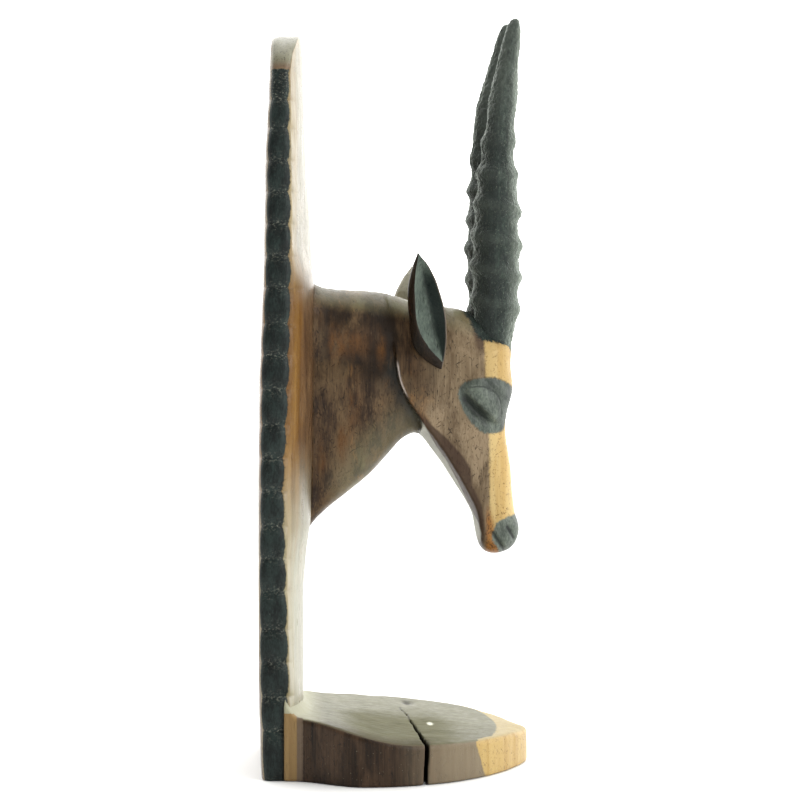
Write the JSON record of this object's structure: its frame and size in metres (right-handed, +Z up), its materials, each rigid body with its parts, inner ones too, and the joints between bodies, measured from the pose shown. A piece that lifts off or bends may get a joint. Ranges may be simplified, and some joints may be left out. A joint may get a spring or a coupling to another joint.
{
  "type": "carved antelope head on a standing board",
  "caption": "Carved wooden antelope head with ringed horns and upright ears, on a tall board with notched black edges and a rounded foot that stands on a shelf.",
  "frame": {"origin": "on the standing surface, under the middle of the whole object's box", "axes": "+Z up, the head faces -Y, the animal's right side is -X, units metres"},
  "size_m": [0.157, 0.134, 0.371],
  "materials": {
    "stained_wood": "semi-gloss brown stain and wax over a fine straight grain",
    "board_wood": "satin, orange-brown by the edge and brown in the middle",
    "horn_black": "matt black, stippled",
    "ear_black": "satin grey-black inside, brown stain on the rim and back",
    "dowel_wood": "plain"
  },
  "bodies": {
    "root": {"back_board": "board_wood", "foot": "stained_wood", "neck": "stained_wood", "head": "stained_wood", "horn_right": "horn_black", "horn_left": "horn_black", "ear_right": "ear_black", "ear_left": "ear_black", "neck_dowels": "dowel_wood", "head_dowels": "dowel_wood", "foot_dowels": "dowel_wood"}
  },
  "joints": []
}
